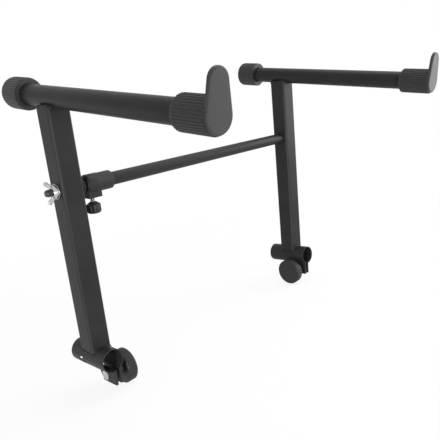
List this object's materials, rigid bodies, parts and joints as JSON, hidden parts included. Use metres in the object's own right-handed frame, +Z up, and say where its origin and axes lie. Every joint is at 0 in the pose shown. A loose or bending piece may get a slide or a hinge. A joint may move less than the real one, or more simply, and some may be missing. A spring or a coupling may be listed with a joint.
{
  "type": "keyboard stand tier",
  "caption": "Add-on second tier for an X-type keyboard stand: clamp sleeves, leaning uprights, support arms with stop lips, and a crossbar of adjustable width.",
  "frame": {"origin": "on the bore axis of the left clamp sleeve, under the middle of the left upright", "axes": "+X across the tier towards the right frame, +Y to the rear along the clamp sleeves, +Z up; the uprights lean 4.3 degrees towards the front"},
  "size_m": [0.4382, 0.3166, 0.3706],
  "materials": {
    "black_steel": "satin black powder coat on steel tube",
    "cap_plastic": "matt dark plastic with grip ribs",
    "knob_plastic": "moulded black plastic",
    "guide_plastic": "natural nylon",
    "bright_zinc": "bright zinc plate",
    "black_screw": "black oxide steel",
    "plain_steel": "plain steel"
  },
  "bodies": {
    "left_frame": {"left_support_arm": "black_steel", "left_upright": "black_steel", "left_clamp_sleeve": "black_steel", "left_rear_cap": "cap_plastic", "left_clamp_bolt": "bright_zinc"},
    "crossbar_rod": {"inner_rod": "black_steel", "rod_plug": "plain_steel", "rod_flange": "black_steel", "rod_guide": "guide_plastic", "crossbar_stud": "black_screw"},
    "right_frame": {"right_support_arm": "black_steel", "right_upright": "black_steel", "right_clamp_sleeve": "black_steel", "right_rear_cap": "cap_plastic", "right_clamp_bolt": "bright_zinc", "outer_tube": "black_steel", "width_collar": "knob_plastic", "collar_nut": "plain_steel"},
    "left_lip": {"left_lip_cap": "cap_plastic"},
    "right_lip": {"right_lip_cap": "cap_plastic"},
    "left_washer": {"left_clamp_washer": "bright_zinc"},
    "left_knob": {"left_clamp_knob": "knob_plastic", "left_knob_nut": "plain_steel"},
    "right_washer": {"right_clamp_washer": "bright_zinc"},
    "right_knob": {"right_clamp_knob": "knob_plastic", "right_knob_nut": "plain_steel"},
    "nut_washer": {"stud_washer": "bright_zinc"},
    "swivel_nut": {"wing_nut": "bright_zinc"},
    "lock_pad": {"thumbscrew_pad": "plain_steel"},
    "lock_screw": {"thumbscrew_head": "knob_plastic", "thumbscrew_shank": "plain_steel"}
  },
  "joints": [
    {"name": "crossbar_swivel", "type": "hinge", "parent": "left_frame", "child": "crossbar_rod", "pos_m": [0, -0.01503, 0.19984], "axis": [1, 0, 0], "continuous": true},
    {"name": "width_slide", "type": "slide", "parent": "crossbar_rod", "child": "right_frame", "axis": [1, 0, 0], "range_m": [0, 0.25]},
    {"name": "left_lip_turn", "type": "hinge", "parent": "left_frame", "child": "left_lip", "pos_m": [0, -0.02227, 0.29616], "axis": [0, -0.9826, -0.1857], "continuous": true},
    {"name": "right_lip_turn", "type": "hinge", "parent": "right_frame", "child": "right_lip", "pos_m": [0.395, -0.02227, 0.29616], "axis": [0, -0.9826, -0.1857], "continuous": true},
    {"name": "left_washer_slide", "type": "slide", "parent": "left_frame", "child": "left_washer", "axis": [1, 0, 0], "range_m": [0, 0.0025]},
    {"name": "left_knob_turn", "type": "hinge", "parent": "left_washer", "child": "left_knob", "pos_m": [0, -0.0115, -0.0231], "axis": [1, 0, 0], "range_deg": [0, 720]},
    {"name": "right_washer_slide", "type": "slide", "parent": "right_frame", "child": "right_washer", "axis": [-1, 0, 0], "range_m": [0, 0.0025]},
    {"name": "right_knob_turn", "type": "hinge", "parent": "right_washer", "child": "right_knob", "pos_m": [0.395, -0.0115, -0.0231], "axis": [-1, 0, 0], "range_deg": [0, 720]},
    {"name": "nut_washer_slide", "type": "slide", "parent": "crossbar_rod", "child": "nut_washer", "axis": [-1, 0, 0], "range_m": [0, 0.0025]},
    {"name": "wing_nut_turn", "type": "hinge", "parent": "nut_washer", "child": "swivel_nut", "pos_m": [0, -0.01503, 0.19984], "axis": [-1, 0, 0], "range_deg": [0, 720]},
    {"name": "lock_pad_slide", "type": "slide", "parent": "right_frame", "child": "lock_pad", "axis": [0, 0.075, -0.9972], "range_m": [0, 0.0016]},
    {"name": "lock_screw_turn", "type": "hinge", "parent": "lock_pad", "child": "lock_screw", "pos_m": [0.0277, -0.01503, 0.19984], "axis": [0, 0.075, -0.9972], "range_deg": [0, 720]}
  ],
  "couplings": [
    {"joint": "left_knob_turn", "follows": "left_washer_slide", "rad_per_m": 5026.5},
    {"joint": "right_knob_turn", "follows": "right_washer_slide", "rad_per_m": 5026.5},
    {"joint": "wing_nut_turn", "follows": "nut_washer_slide", "rad_per_m": 5026.5},
    {"joint": "lock_screw_turn", "follows": "lock_pad_slide", "rad_per_m": 7854}
  ]
}
